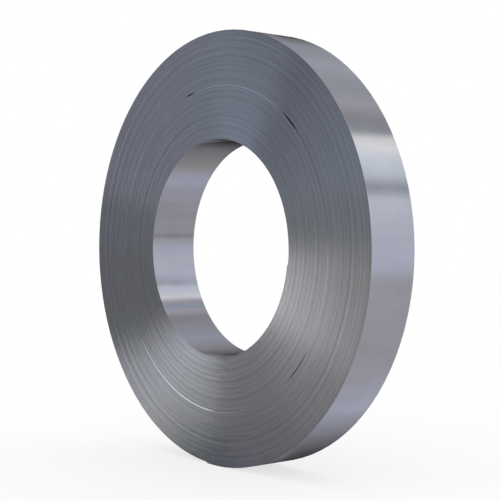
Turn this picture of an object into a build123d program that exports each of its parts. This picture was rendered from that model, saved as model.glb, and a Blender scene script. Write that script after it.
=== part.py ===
# Narrow coil of bright steel strip, standing on its rim as it would on a level floor.
# The axis of the winding runs along Y and the origin is the centre of the bore.
# The front end, seen in the photo, faces -Y. Sizes are in millimetres.
from build123d import *
import os

# Winding.
outer_diameter = 1016.0    # over the last lap, the rim it stands on
bore_diameter = 508.0      # inside the first lap, for a 20 inch mandrel
strip_width = 127.0        # one lap from edge to edge, 5 inch strip

# Laps shift a little sideways as they are wound, in groups that show as rings on both ends.
side_shift = 1.0           # furthest a group stands out of line, either way

# Each group of laps: where it stops, as a share of the build-up from bore to rim, and its
# shift towards the front, as a share of the largest shift.
lap_groups = [
    (0.06, 0.0),
    (0.12, 0.5),
    (0.17, -0.2),
    (0.21, 0.6),
    (0.25, 0.0),
    (0.28, 0.7),
    (0.31, 0.1),
    (0.34, -0.5),
    (0.39, 0.2),
    (0.45, -0.3),
    (0.49, 0.3),
    (0.51, 1.0),
    (0.66, -0.4),
    (0.70, 0.3),
    (0.73, -0.6),
    (0.78, 0.4),
    (0.83, -1.0),
    (0.88, 0.1),
    (0.94, -0.7),
    (1.00, 0.0),
]

outer_radius = outer_diameter / 2
bore_radius = bore_diameter / 2
build_up = outer_radius - bore_radius


def front_edge():
    """Points along the front end from the bore to the rim, as radius and position on Y."""
    points = []
    inner = bore_radius
    for share, shift in lap_groups:
        outer = bore_radius + share * build_up
        y = -strip_width / 2 - shift * side_shift
        points += [(inner, y), (outer, y)]
        inner = outer
    return points


def back_edge():
    """The same laps' other edges: all laps are equally wide, so the steps are repeated."""
    return [(radius, y + strip_width) for radius, y in front_edge()]


def strip_coil():
    """The whole winding turned as one solid about the Y axis."""
    outline = front_edge() + back_edge()[::-1]
    section = make_face(Polyline(*outline, close=True))
    return revolve(section, axis=Axis.Y)


steel_strip_coil = strip_coil()

os.makedirs("parts", exist_ok=True)
export_step(steel_strip_coil, "parts/steel_strip_coil.step")
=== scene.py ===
# A narrow coil of bright steel strip, standing on its rim on a pale floor.
import math

import bpy
import numpy as np
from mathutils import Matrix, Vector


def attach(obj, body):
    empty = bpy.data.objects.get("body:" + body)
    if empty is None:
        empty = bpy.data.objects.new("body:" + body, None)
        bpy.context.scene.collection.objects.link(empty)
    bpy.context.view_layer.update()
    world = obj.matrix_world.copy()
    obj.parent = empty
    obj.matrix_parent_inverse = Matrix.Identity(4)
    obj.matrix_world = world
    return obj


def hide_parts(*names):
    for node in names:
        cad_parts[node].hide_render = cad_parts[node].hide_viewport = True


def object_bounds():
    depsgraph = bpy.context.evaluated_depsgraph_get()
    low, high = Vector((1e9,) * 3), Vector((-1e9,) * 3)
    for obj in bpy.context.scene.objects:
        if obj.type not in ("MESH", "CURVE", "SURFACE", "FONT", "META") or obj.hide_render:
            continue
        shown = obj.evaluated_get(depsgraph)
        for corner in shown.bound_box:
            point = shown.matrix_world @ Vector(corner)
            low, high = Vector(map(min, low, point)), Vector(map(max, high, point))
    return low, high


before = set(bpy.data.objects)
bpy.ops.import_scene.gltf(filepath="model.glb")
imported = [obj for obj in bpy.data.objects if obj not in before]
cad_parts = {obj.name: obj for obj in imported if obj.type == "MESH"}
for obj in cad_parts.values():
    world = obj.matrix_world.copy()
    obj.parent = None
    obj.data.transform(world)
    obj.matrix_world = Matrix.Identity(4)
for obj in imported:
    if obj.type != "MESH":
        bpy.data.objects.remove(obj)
cad_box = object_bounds()

scene = bpy.context.scene
scene.view_settings.view_transform = "Standard"


# The camera: level with the middle of the coil and 2.8 m away, 51 degrees round from the
# front end, so that the rim shows on the right and the bore's wall on the left.
camera_data = bpy.data.cameras.new("camera")
camera_data.lens = 84.1
camera_data.sensor_width = 36.0
camera = bpy.data.objects.new("camera", camera_data)
scene.collection.objects.link(camera)
camera.location = (2.152, -1.7427, 0.0084)
camera.rotation_euler = (math.radians(89.75), math.radians(0.30), math.radians(50.35))
scene.camera = camera


# The wound strip: one length of cold-rolled steel, 2.5 mm thick and 127 mm wide, wound
# tight on a 508 mm mandrel. Its laps slip sideways a little, so their slit edges show as
# rings on both ends. The first end lies in the bore and the last one under the coil.
MM = 0.001
BORE_RADIUS = 254 * MM
RIM_RADIUS = 508 * MM
STRIP_WIDTH = 127 * MM
COLUMNS = 96                   # of points around each turn
LAST = 98 * COLUMNS + 23       # the column where the strip ends
LAP = (RIM_RADIUS - BORE_RADIUS) / (LAST / COLUMNS + 1)    # thickness, with the air in it
START_ANGLE = 98.0             # degrees clockwise from the top, seen from the front
LAP_VALUES = 102               # random values drawn for the laps, a few more than there are
CHANGE_TURN = 0.40             # where a lap goes over to the next lap's shift and shape
CHANGE_LENGTH = 0.28

# Where each group of laps stops, as a share of the build-up, and how far it stands
# towards the front, as a share of the largest shift. The laps take a quarter of that, as
# their edges stand nearly level, and each adds a little of its own.
LAP_GROUPS = [
    (0.06, 0.0), (0.12, 0.5), (0.17, -0.2), (0.21, 0.6), (0.25, 0.0),
    (0.28, 0.7), (0.31, 0.1), (0.34, -0.5), (0.39, 0.2), (0.45, -0.3),
    (0.49, 0.3), (0.51, 1.0), (0.66, -0.4), (0.70, 0.3), (0.73, -0.6),
    (0.78, 0.4), (0.83, -1.0), (0.88, 0.1), (0.94, -0.7), (1.00, 0.0),
]
SIDE_SHIFT = 1.0 * MM
GROUP_PART = 0.25
LAP_PART = 0.05
WANDER_PART = 0.03             # of the largest shift, by which the strip wanders along a lap
WANDER_TURNS = 0.31            # from one bend of that wander to the next

# A slit edge across one lap, as share of its thickness and depth below its highest line.
# The shears drew the steel down towards the rim side and left the other side sharp.
EDGE_PROFILE = [(0.03, 0.0), (0.35, 0.070 * MM), (0.68, 0.198 * MM), (0.96, 0.400 * MM)]
GROOVE_DEPTH = 0.60 * MM
CORNER = 0.05 * MM             # broken off the sharp edges of the bore and the rim
SHARP_ANGLE = 32.0             # degrees, past which an edge stays sharp

# Some laps' edges are drawn down more than others, as a share of the profile's depth.
RING_PITCH = 5.4               # laps from one ring of harder drawn edges to the next
RING_DRAW = 0.06
PROUD_LAP = 50                 # one lap is sheared nearly square, and stands out as a ring
PROUD_DRAW = 0.55
DRAW_NOISE = 0.01
DRAW_TURNS = 0.27              # from one change of the noise along the strip to the next

# Where two laps have parted and a dark slit shows: turn, middle and half length in degrees,
# and width.
SLITS = [(49, 44.0, 4.6, 3.2 * MM), (50, 132.5, 7.0, 2.4 * MM), (49, 345.5, 3.2, 3.8 * MM)]
SLIT_DEPTH = 25 * MM
SLIT_REACH = 8                 # laps either side that bend to make room


def smooth_noise(positions, spacing, rng):
    """Seeded noise from -1 to 1 along the strip, with a knot every so many turns."""
    knots = rng.uniform(-1, 1, int(positions.max() / spacing) + 3)
    whole = np.floor(positions / spacing).astype(int)
    part = positions / spacing - whole
    part = part * part * (3 - 2 * part)
    return knots[whole] * (1 - part) + knots[whole + 1] * part


def lap_by_lap(turn, values):
    """One value for each lap, which changes over to the next lap's on the left side."""
    from_change = np.clip(turn - CHANGE_TURN + 1, 0, len(values) - 2)
    whole = np.floor(from_change).astype(int)
    part = np.clip((from_change - whole) / CHANGE_LENGTH, 0, 1)
    part = part * part * (3 - 2 * part)
    return values[whole] * (1 - part) + values[whole + 1] * part


def side_shift(turn):
    """How far the strip stands towards the front at each place along it."""
    rng = np.random.default_rng(11)
    build_up = (np.arange(LAP_VALUES) + 0.5) * COLUMNS / (LAST + COLUMNS)
    ends, shifts = np.array(LAP_GROUPS).T
    group = np.minimum(np.searchsorted(ends, build_up), len(ends) - 1)
    own = rng.uniform(-LAP_PART, LAP_PART, LAP_VALUES)
    shift = lap_by_lap(turn, GROUP_PART * shifts[group] + own)
    shift += WANDER_PART * smooth_noise(turn, WANDER_TURNS, rng)
    return np.clip(shift, -1, 1) * SIDE_SHIFT


def edge_draw(turn):
    """How far the shears drew the edge down at each place, as a share of the profile."""
    rng = np.random.default_rng(23)
    sway = np.cumsum(rng.uniform(0.7, 1.3, LAP_VALUES)) * math.tau / RING_PITCH
    own = rng.uniform(-DRAW_NOISE, DRAW_NOISE, LAP_VALUES)
    draws = 1 + RING_DRAW * np.sin(sway) + own
    draws[PROUD_LAP] = PROUD_DRAW
    return lap_by_lap(turn, draws) + DRAW_NOISE * smooth_noise(turn, DRAW_TURNS, rng)


def slit_gape(angle, middle, half):
    """How far round from a slit's middle each place is, and how far open from 0 to 1."""
    off = (angle - middle + 180) % 360 - 180
    return off, np.clip(1 - (off / half) ** 4, 0, 1)


def slit_bend(turn, angle):
    """How far a lap is pressed out of its circle beside the slits."""
    bend = np.zeros(len(turn))
    for slit_turn, middle, half, width in SLITS:
        off, gape = slit_gape(angle, middle, half)
        from_slit = turn - slit_turn - (middle - START_ANGLE) % 360 / 360 - off / 360
        reach = np.exp(-np.clip(np.abs(from_slit) - 0.5, 0, None) / SLIT_REACH)
        side = np.where(np.abs(from_slit) < 0.1, 0, np.sign(from_slit))
        bend += side * (gape * width / 2) * reach
    return bend


def place(radius, along_axis, angle):
    """Points of the coil, with the angle clockwise from the top as the front is seen."""
    angle = np.radians(angle)
    return np.stack([radius * np.sin(angle), along_axis, radius * np.cos(angle)], -1)


def edge_rows():
    """Rows of points along the strip, groove first, for the front end and the back end."""
    lap_column = np.arange(LAST + 1)
    groove_column = np.arange(LAST + COLUMNS + 1)
    angle = START_ANGLE + 360 * groove_column / COLUMNS
    lap_angle = angle[:LAST + 1]

    # Every lap lies between two turns of one groove, whose first turn is the bore's edge
    # and last turn the rim's. The slits leave the bore round.
    bend = slit_bend(groove_column / COLUMNS, angle)
    bend[:COLUMNS + 1] = 0
    radius = BORE_RADIUS + LAP * groove_column / COLUMNS + bend
    lap_bend = slit_bend(lap_column / COLUMNS + 0.5, lap_angle)
    lap_radius = BORE_RADIUS + LAP * lap_column / COLUMNS + lap_bend

    shift = side_shift(lap_column / COLUMNS)
    lap_inside = np.concatenate([shift[:COLUMNS], shift])
    lap_outside = np.concatenate([shift, shift[-COLUMNS:]])
    groove_shift = (lap_inside + lap_outside) / 2

    draw = edge_draw(lap_column / COLUMNS)
    depth = np.full(len(groove_column), GROOVE_DEPTH)
    for slit_turn, middle, half, width in SLITS:
        off, gape = slit_gape(angle, middle, half)
        depth += (groove_column // COLUMNS == slit_turn) * gape * SLIT_DEPTH
    depth[:COLUMNS + 1] = CORNER
    depth[LAST:] = EDGE_PROFILE[-1][1] * draw[LAST - COLUMNS:] + CORNER

    ends = []
    for sign in (-1, 1):
        flat = sign * STRIP_WIDTH / 2
        rows = [place(radius, flat - groove_shift - sign * depth, angle)]
        for share, below in EDGE_PROFILE:
            along_axis = flat - shift - sign * below * draw
            rows.append(place(lap_radius + share * LAP, along_axis, lap_angle))
        ends.append(rows)
    return ends


def wound_strip():
    """The whole strip as one closed mesh: both ends lap by lap, the bore and the rim."""
    rolled, slit = 0, 1        # material slots, in the order in which they are made below
    faces, slots, uv = [], [], []

    def sheet(inner, outer, count, slot, across, first_turn, flip):
        """Quads between two rows of vertices, with turns along and a share across."""
        for k in range(count):
            corners = [(inner + k, k, across[0]), (inner + k + 1, k + 1, across[0]),
                       (outer + k + 1, k + 1, across[1]), (outer + k, k, across[1])]
            if flip:
                corners.reverse()
            faces.append([corner[0] for corner in corners])
            uv.extend((first_turn + corner[1] / COLUMNS, corner[2]) for corner in corners)
        slots.extend([slot] * count)

    vertices, starts = [], []
    for rows in edge_rows():
        start_of_row = []
        for row in rows:
            start_of_row.append(len(vertices))
            vertices.extend(row.tolist())
        starts.append(start_of_row + [start_of_row[0] + COLUMNS])
    front, back = starts

    shares = [0.0] + [share for share, below in EDGE_PROFILE] + [1.0]
    for end, flip in ((front, False), (back, True)):
        for row in range(len(end) - 1):
            sheet(end[row], end[row + 1], LAST, slit, shares[row:row + 2], 0, flip)
    sheet(back[0], front[0], COLUMNS, rolled, (1, 0), 0, False)
    sheet(front[0] + LAST, back[0] + LAST, COLUMNS, rolled, (0, 1), LAST / COLUMNS, False)

    # The strip's two cut ends.
    for k, flip in ((0, False), (LAST, True)):
        loop = [row + k for row in front] + [row + k for row in reversed(back)]
        faces.append(loop[::-1] if flip else loop)
        slots.append(slit)
        uv.extend([(k / COLUMNS, 0.5)] * len(loop))

    mesh = bpy.data.meshes.new("wound_strip")
    mesh.from_pydata(vertices, [], faces)
    mesh.polygons.foreach_set("material_index", slots)
    layer = mesh.uv_layers.new(name="along_and_across")
    layer.data.foreach_set("uv", np.array(uv, dtype=np.float32).ravel())
    mesh.shade_smooth()
    mesh.set_sharp_from_angle(angle=math.radians(SHARP_ANGLE))
    return mesh


strip_mesh = wound_strip()
wound_strip_piece = bpy.data.objects.new("wound_strip", strip_mesh)
scene.collection.objects.link(wound_strip_piece)
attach(wound_strip_piece, "root")
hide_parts("steel_strip_coil")


def add_node(tree, kind, *values, **settings):
    """A node with its settings; each value is a constant or a socket to link from."""
    node = tree.nodes.new(kind)
    for key, value in settings.items():
        setattr(node, key, value)
    for socket, value in zip(node.inputs, values):
        if isinstance(value, bpy.types.NodeSocket):
            tree.links.new(value, socket)
        else:
            socket.default_value = value
    return node


def calculate(tree, operation, *values):
    return add_node(tree, "ShaderNodeMath", *values, operation=operation).outputs[0]


def product(tree, *factors):
    """All the factors multiplied together."""
    result = factors[0]
    for factor in factors[1:]:
        result = calculate(tree, "MULTIPLY", result, factor)
    return result


def remap(tree, value, low, high, to_low, to_high):
    """Carries a value from one range to another, and keeps it inside."""
    node = add_node(tree, "ShaderNodeMapRange", value, low, high, to_low, to_high)
    return node.outputs[0]


def vary(tree, value, low, high):
    """Carries a streak's value, mostly between 0.3 and 0.7, to the range wanted."""
    return remap(tree, value, 0.3, 0.7, low, high)


def tint(tree, colour, amount):
    """A colour made lighter or darker by a factor."""
    node = add_node(tree, "ShaderNodeVectorMath", colour, operation="SCALE")
    tree.links.new(amount, node.inputs["Scale"])
    return node.outputs[0]


# Streaks drawn out along the strip, from its rolling, with how many there are in one turn
# and across it. They are noise stretched by those two numbers, and both steels use them.
streaks = bpy.data.node_groups.new("streaks", "ShaderNodeTree")
for name, in_out in (("Turn", "INPUT"), ("Across", "INPUT"), ("Per Turn", "INPUT"),
                     ("Per Width", "INPUT"), ("Seed", "INPUT"), ("Streak", "OUTPUT")):
    streaks.interface.new_socket(name=name, in_out=in_out, socket_type="NodeSocketFloat")
given = streaks.nodes.new("NodeGroupInput").outputs
stretched = add_node(
    streaks, "ShaderNodeCombineXYZ",
    calculate(streaks, "MULTIPLY", given["Turn"], given["Per Turn"]),
    calculate(streaks, "MULTIPLY", given["Across"], given["Per Width"]), given["Seed"])
streak_noise = add_node(streaks, "ShaderNodeTexNoise", noise_dimensions="3D")
streak_noise.inputs["Scale"].default_value = 1.0
streak_noise.inputs["Detail"].default_value = 3.0
streaks.links.new(stretched.outputs[0], streak_noise.inputs["Vector"])
add_node(streaks, "NodeGroupOutput", streak_noise.outputs[0])


def streak(tree, turn, across, per_turn, per_width, seed):
    """How light the streak at each spot is, from 0 to 1."""
    return add_node(tree, "ShaderNodeGroup", turn, across, per_turn, per_width, seed,
                    node_tree=streaks).outputs[0]


def new_steel(name):
    """A bare steel material, with the turn and the share across where a spot lies."""
    material = bpy.data.materials.new(name)
    material.use_nodes = True
    tree = material.node_tree
    shader = tree.nodes["Principled BSDF"]
    shader.inputs["Metallic"].default_value = 1.0
    uv = add_node(tree, "ShaderNodeUVMap", uv_map="along_and_across").outputs[0]
    turn, across = add_node(tree, "ShaderNodeSeparateXYZ", uv).outputs[:2]
    strip_mesh.materials.append(material)
    return tree, shader, turn, across


def finish_steel(tree, shader, colour, amount, rough, height, relief):
    """Links a steel's colour, roughness and relief; height 1 stands up by the relief."""
    tree.links.new(tint(tree, colour, amount), shader.inputs["Base Color"])
    tree.links.new(rough, shader.inputs["Roughness"])
    bump = add_node(tree, "ShaderNodeBump")
    bump.inputs["Strength"].default_value = 1.0
    bump.inputs["Distance"].default_value = relief
    tree.links.new(height, bump.inputs["Height"])
    tree.links.new(bump.outputs[0], shader.inputs["Normal"])


# The rolled faces: bright, with fine lines along the strip, faint bars across it where
# the rolls chattered, patches of thin oil, and edges worn bright.
ROLLED_COLOUR = (0.60, 0.60, 0.61)
ROLLED_RELIEF = 0.1 * MM
tree, shader, turn, across = new_steel("rolled_face")
bars = streak(tree, turn, across, 55.0, 0.6, 3.0)
slow_bars = streak(tree, turn, across, 9.0, 0.4, 8.0)
lines = streak(tree, turn, across, 2.5, 70.0, 5.0)
oil = streak(tree, turn, across, 14.0, 3.0, 12.0)
from_edge = calculate(tree, "MINIMUM", across, calculate(tree, "SUBTRACT", 1.0, across))
worn = remap(tree, from_edge, 0.0, 0.016, 0.05, 0.0)
amount = product(tree, calculate(tree, "ADD", vary(tree, bars, 0.94, 1.06), worn),
                 vary(tree, lines, 0.97, 1.03), vary(tree, oil, 0.98, 1.015))
rough = calculate(tree, "ADD", vary(tree, oil, 0.09, 0.12), vary(tree, lines, -0.01, 0.02))
bar_height = calculate(tree, "ADD", remap(tree, slow_bars, 0.2, 0.8, 0.0, 0.25),
                       remap(tree, bars, 0.2, 0.8, 0.0, 0.10))
height = calculate(tree, "ADD", bar_height, remap(tree, lines, 0.2, 0.8, 0.0, 0.006))
finish_steel(tree, shader, ROLLED_COLOUR, amount, rough, height, ROLLED_RELIEF)


# The slit edges: duller, with rings of laps a little lighter or darker, the shears'
# burnished line, fine scores along it, painted shade down in the grooves and slits, and
# painted highlights on a lap that stands proud, where it catches the light.
SLIT_COLOUR = (0.535, 0.535, 0.54)
SLIT_RELIEF = 0.006 * MM
# Painted shade deep in the slits: from the first distance the colour darkens, and at the second
# it is darkest.
SLIT_SHADE_STARTS = 61 * MM         # from the middle of the strip, towards either edge
SLIT_SHADE_FULL = 59 * MM

# Painted highlights where a proud lap catches the light: the middle of each, where it
# starts to fade and where it is gone, in turns, and how much lighter it is.
PAINTED_GLINTS = [
    (49.304, 0.062, 0.072, 1.5), (48.768, 0.045, 0.078, 1.28), (48.625, 0.070, 0.100, 1.12),
]
tree, shader, turn, across = new_steel("slit_edge")
from_bore = add_node(tree, "ShaderNodeTexCoord").outputs["Object"]
out_x, along_axis, out_z = add_node(tree, "ShaderNodeSeparateXYZ", from_bore).outputs
radius = calculate(tree, "SQRT", calculate(
    tree, "ADD", calculate(tree, "MULTIPLY", out_x, out_x),
    calculate(tree, "MULTIPLY", out_z, out_z)))

# Rings follow the radius, so many to the metre, and the other streaks follow the strip.
rings = streak(tree, radius, turn, 160.0, 0.0, 21.0)
sway = calculate(tree, "MULTIPLY", streak(tree, radius, turn, 30.0, 0.0, 33.0), 14.0)
ring_wave = calculate(tree, "SINE", calculate(
    tree, "MULTIPLY_ADD", radius, math.tau / (RING_PITCH * LAP), sway))
fine_rings = streak(tree, radius, turn, 420.0, 0.3, 27.0)
lap_tone = streak(tree, turn, across, 0.8, 0.2, 2.0)
scores = streak(tree, turn, across, 30.0, 5.0, 6.0)
burnish = remap(tree, across, 0.05, 0.9, 1.06, 0.95)
# Painted shade: darker at the bottoms of the grooves and deep down in the slits, where little
# light reaches.
groove_painted_shade = remap(tree, across, 0.0, 0.010, 0.5, 1.0)
from_middle = calculate(tree, "ABSOLUTE", along_axis)
slit_painted_shade = remap(tree, from_middle, SLIT_SHADE_FULL, SLIT_SHADE_STARTS, 0.03, 1.0)
amount = product(tree, vary(tree, rings, 0.94, 1.06), vary(tree, fine_rings, 0.97, 1.03),
                 vary(tree, lap_tone, 0.97, 1.03),
                 remap(tree, ring_wave, -1.0, 1.0, 0.955, 1.045),
                 vary(tree, scores, 0.965, 1.035), burnish, groove_painted_shade, slit_painted_shade)
# Painted highlights: arcs of the proud laps made lighter where they catch the light.
for middle, inside, outside, gain in PAINTED_GLINTS:
    from_glint = calculate(tree, "ABSOLUTE", calculate(tree, "SUBTRACT", turn, middle))
    amount = product(tree, amount, remap(tree, from_glint, inside, outside, gain, 1.0))
rough = calculate(tree, "ADD", vary(tree, fine_rings, 0.14, 0.18),
                  vary(tree, scores, -0.02, 0.03))
finish_steel(tree, shader, SLIT_COLOUR, amount, rough, scores, SLIT_RELIEF)


# The floor: a wide pale sheet that the rim stands on. The camera sees it as white as the
# background, and it keeps the coil's soft shadow. It isn't part of the object.
FLOOR_REACH = 20.0             # from the middle to each side
SHADE_KEPT = 0.3               # share of the floor's real shading that the camera sees

floor_z = cad_box[0][2]
floor_corners = [(-FLOOR_REACH, -FLOOR_REACH, floor_z), (FLOOR_REACH, -FLOOR_REACH, floor_z),
                 (FLOOR_REACH, FLOOR_REACH, floor_z), (-FLOOR_REACH, FLOOR_REACH, floor_z)]
floor_mesh = bpy.data.meshes.new("floor")
floor_mesh.from_pydata(floor_corners, [], [(0, 1, 2, 3)])
floor = bpy.data.objects.new("floor", floor_mesh)
scene.collection.objects.link(floor)
floor.visible_glossy = False

floor_paint = bpy.data.materials.new("pale_floor")
floor_paint.use_nodes = True
tree = floor_paint.node_tree
tree.nodes.remove(tree.nodes["Principled BSDF"])
matt = add_node(tree, "ShaderNodeBsdfDiffuse", (1, 1, 1, 1))
white = add_node(tree, "ShaderNodeEmission")
seen = add_node(tree, "ShaderNodeLightPath").outputs["Is Camera Ray"]
whitened = calculate(tree, "MULTIPLY", seen, 1 - SHADE_KEPT)
blend = add_node(tree, "ShaderNodeMixShader", whitened, matt.outputs[0], white.outputs[0])
tree.links.new(blend.outputs[0], tree.nodes["Material Output"].inputs["Surface"])
floor_mesh.materials.append(floor_paint)


# The studio: a white room, and large curved boards that the bright metal mirrors as bands.
# The camera and the floor don't see them, and they aren't part of the object.
BOARD_DISTANCE = 10.0
ROOM_RADIUS = 12.0

world = bpy.data.worlds.new("white_room")
scene.world = world
world.use_nodes = True
world.node_tree.nodes["Background"].inputs["Color"].default_value = (1, 1, 1, 1)
world.node_tree.nodes["Background"].inputs["Strength"].default_value = 1.0

glow_paint = bpy.data.materials.new("board_glow")
glow_paint.use_nodes = True
tree = glow_paint.node_tree
tree.nodes.remove(tree.nodes["Principled BSDF"])
glow_colour = add_node(tree, "ShaderNodeAttribute", attribute_name="glow")
glow = add_node(tree, "ShaderNodeEmission", glow_colour.outputs["Color"])
tree.links.new(glow.outputs[0], tree.nodes["Material Output"].inputs["Surface"])

# The colours of the light, each a mix of red, green and blue to be scaled by a brightness.
GELS = {
    "plain": (1.00, 1.00, 1.00), "warm": (1.05, 0.99, 0.96), "mauve": (0.98, 0.96, 1.06),
    "cool": (0.92, 0.98, 1.10), "violet": (0.91, 0.94, 1.15), "blue": (0.84, 0.96, 1.20),
}


def light(brightness, gel):
    return brightness * np.array(GELS[gel])


def board(name, directions, glows, distance):
    """A curved board from a grid of directions, with the colour of its light."""
    rows, columns = directions.shape[:2]
    corner = np.arange(rows * columns).reshape(rows, columns)
    faces = np.stack(
        [corner[:-1, :-1], corner[:-1, 1:], corner[1:, 1:], corner[1:, :-1]], -1)
    mesh = bpy.data.meshes.new(name)
    mesh.from_pydata((directions.reshape(-1, 3) * distance).tolist(), [],
                     faces.reshape(-1, 4).tolist())
    colour = np.ones((rows, columns, 4))
    colour[..., :3] = glows
    glow_layer = mesh.attributes.new("glow", "FLOAT_COLOR", "POINT")
    glow_layer.data.foreach_set("color", colour.ravel().astype(np.float32))
    mesh.materials.append(glow_paint)
    piece = bpy.data.objects.new(name, mesh)
    scene.collection.objects.link(piece)
    piece.visible_camera = False
    piece.visible_diffuse = False
    piece.visible_shadow = False


def compass(west, east, low, high):
    """Directions by azimuth, from +Y towards +X, and by height above the horizon."""
    azimuth = np.radians(np.linspace(west, east, max(3, int((east - west) / 4) + 2)))
    height = np.radians(np.linspace(low, high, max(3, int((high - low) / 4) + 2)))[:, None]
    return np.stack(np.broadcast_arrays(
        np.cos(height) * np.sin(azimuth), np.cos(height) * np.cos(azimuth),
        np.sin(height)), -1)


# Boards in front of the coil, which the slit edges mirror: azimuth west and east, height
# low and high, brightness and gel.
FRONT_BOARDS = {
    "bridge": (-146, -127, -10.5, -0.5, 1.20, "mauve"),
    "west_leg": (-159, -146, -18.4, -0.5, 0.50, "plain"),
    "west_foot": (-159, -146, -41, -18.4, 0.70, "warm"),
    "notch": (-146, -127, -41, -10.5, 0.35, "mauve"),
    "east_core": (-127, -112.5, -15, -10, 1.00, "cool"),
    "east_leg": (-127, -112.5, -18.4, -15, 1.15, "plain"),
    "east_gap": (-112.5, -103, -18.4, -10, 0.60, "warm"),
    "east_side": (-103, -60, -18.4, -10, 1.40, "cool"),
    "east_line": (-127, -60, -10, -0.5, 0.20, "plain"),
    "west_side": (-235, -159, -18.4, -0.5, 0.10, "mauve"),
    "foreground": (-235, -60, -90, -18.4, 0.10, "blue"),
    "wall_west": (-235, -145, -0.5, 7.5, 0.25, "cool"),
    "wall_gap": (-145, -137, -0.5, 7.5, 0.15, "warm"),
    "wall_window": (-137, -120, -0.5, 6.5, 1.40, "plain"),
    "wall_east": (-120, -60, -0.5, 5, 0.30, "violet"),
    "high_west": (-235, -149, 7.5, 90, 0.35, "blue"),
    "high_gap": (-149, -139, 7.5, 90, 0.15, "violet"),
    "high_middle": (-139, -127, 6.5, 24.5, 0.40, "blue"),
    "high_top": (-139, -127, 24.5, 90, 0.15, "blue"),
    "high_dip": (-127, -117, 7.5, 90, 0.30, "blue"),
    "high_east": (-117, -60, 5, 90, 0.45, "violet"),
}
for name, (west, east, low, high, brightness, gel) in FRONT_BOARDS.items():
    board(name, compass(west, east, low, high), light(brightness, gel), BOARD_DISTANCE)

# Two arches of light behind the coil, one mirrored by the rim and one by the bore: degrees
# off the coil's axis where an arch starts and stops, and its stops. Each stop is the place
# on the rim or the bore that mirrors it, in degrees from the top, its brightness and gel.
ARCHES = {
    "rim_arch": (28, 50, [
        (12, 0.03, "plain"), (17, 0.19, "plain"), (24, 0.36, "cool"), (36, 0.49, "cool"),
        (42, 0.45, "cool"), (50, 0.49, "mauve"), (55, 0.36, "mauve"), (58.8, 0.38, "cool"),
        (60.8, 0.99, "plain"), (63.2, 1.09, "plain"), (66.5, 0.94, "cool"), (71, 0.81, "cool"),
        (74.5, 0.43, "violet"), (77.5, 0.80, "cool"), (95, 0.66, "violet"), (99, 0.51, "mauve"),
        (120, 0.46, "mauve"), (136, 0.57, "violet"), (150, 0.21, "mauve"), (158, 0.09, "mauve"),
        (170, 0.02, "plain"),
    ]),
    "bore_arch": (50, 78, [
        (0, 0.03, "plain"), (8, 0.08, "mauve"), (24, 0.38, "mauve"), (33, 0.47, "violet"),
        (50, 0.35, "mauve"), (54, 0.52, "mauve"), (57, 0.47, "blue"), (60, 0.46, "mauve"),
        (62.6, 1.01, "mauve"), (65.5, 0.84, "cool"), (68, 0.80, "violet"), (71, 0.52, "cool"),
        (74, 0.64, "violet"), (84, 0.69, "cool"), (91, 0.61, "violet"), (95, 0.50, "mauve"),
        (97, 0.32, "mauve"), (99, 0.44, "mauve"), (112, 0.41, "mauve"), (131, 0.55, "violet"),
        (143, 0.33, "warm"), (150, 0.30, "mauve"), (158, 0.22, "mauve"), (165, 0.10, "mauve"),
        (172, 0.03, "plain"),
    ]),
}
for name, (start, stop, stops) in ARCHES.items():
    places, brightnesses, gels = zip(*stops)
    colours = np.array([light(*pair) for pair in zip(brightnesses, gels)])
    spots = np.linspace(0, 180, 361)
    off_axis = np.radians(np.linspace(start, stop, 8))[:, None]
    round_axis = np.radians(2 * spots)      # a mirrored ray turns twice as far as the rim
    directions = np.stack(np.broadcast_arrays(
        -np.sin(off_axis) * np.cos(round_axis), np.cos(off_axis),
        np.sin(off_axis) * np.sin(round_axis)), -1)
    glows = np.stack([np.interp(spots, places, channel) for channel in colours.T], -1)
    board(name, directions, glows, BOARD_DISTANCE)

# The rest of the room, as the metal mirrors it.
board("room", compass(-180, 180, -90, 90), light(0.36, "cool"), ROOM_RADIUS)
